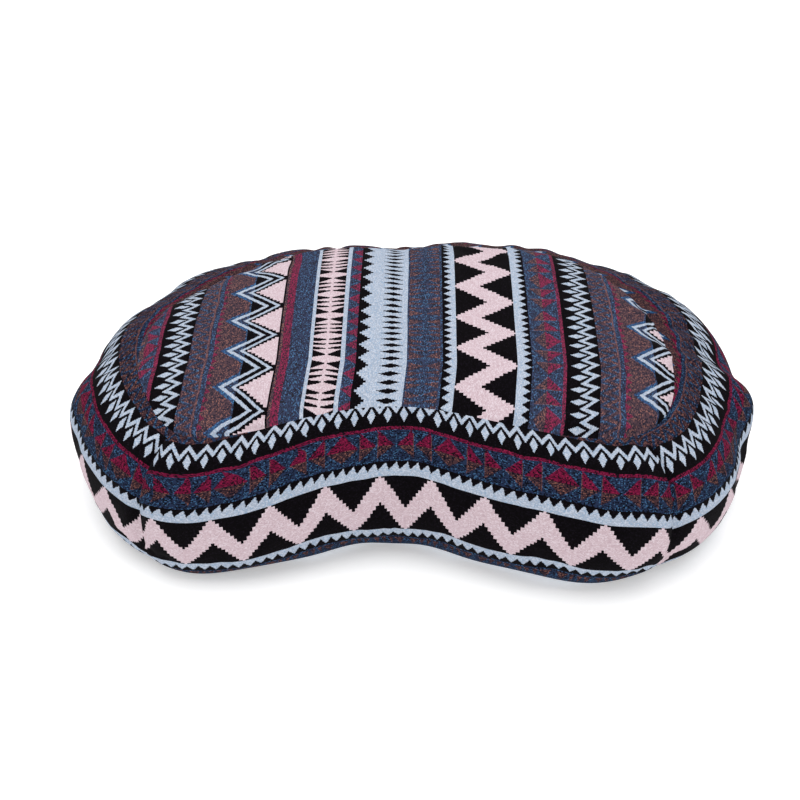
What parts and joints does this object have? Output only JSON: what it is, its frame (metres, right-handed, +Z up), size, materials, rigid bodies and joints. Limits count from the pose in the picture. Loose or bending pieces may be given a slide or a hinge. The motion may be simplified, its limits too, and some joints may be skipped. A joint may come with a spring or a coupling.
{
  "type": "crescent zafu meditation cushion",
  "caption": "Crescent meditation cushion with a hollow front, crowned top, rolled band and striped woven cover.",
  "frame": {"origin": "middle of the cushion's plan, on the surface it rests on", "axes": "+X along the width from lobe to lobe, -Y out of the hollow front, +Z up"},
  "size_m": [0.4524, 0.2994, 0.1057],
  "materials": {
    "jacquard_cloth": "matt woven cotton in black, pale blue, pink, crimson, navy and brown"
  },
  "bodies": {
    "root": {"cushion": "jacquard_cloth"}
  },
  "joints": []
}
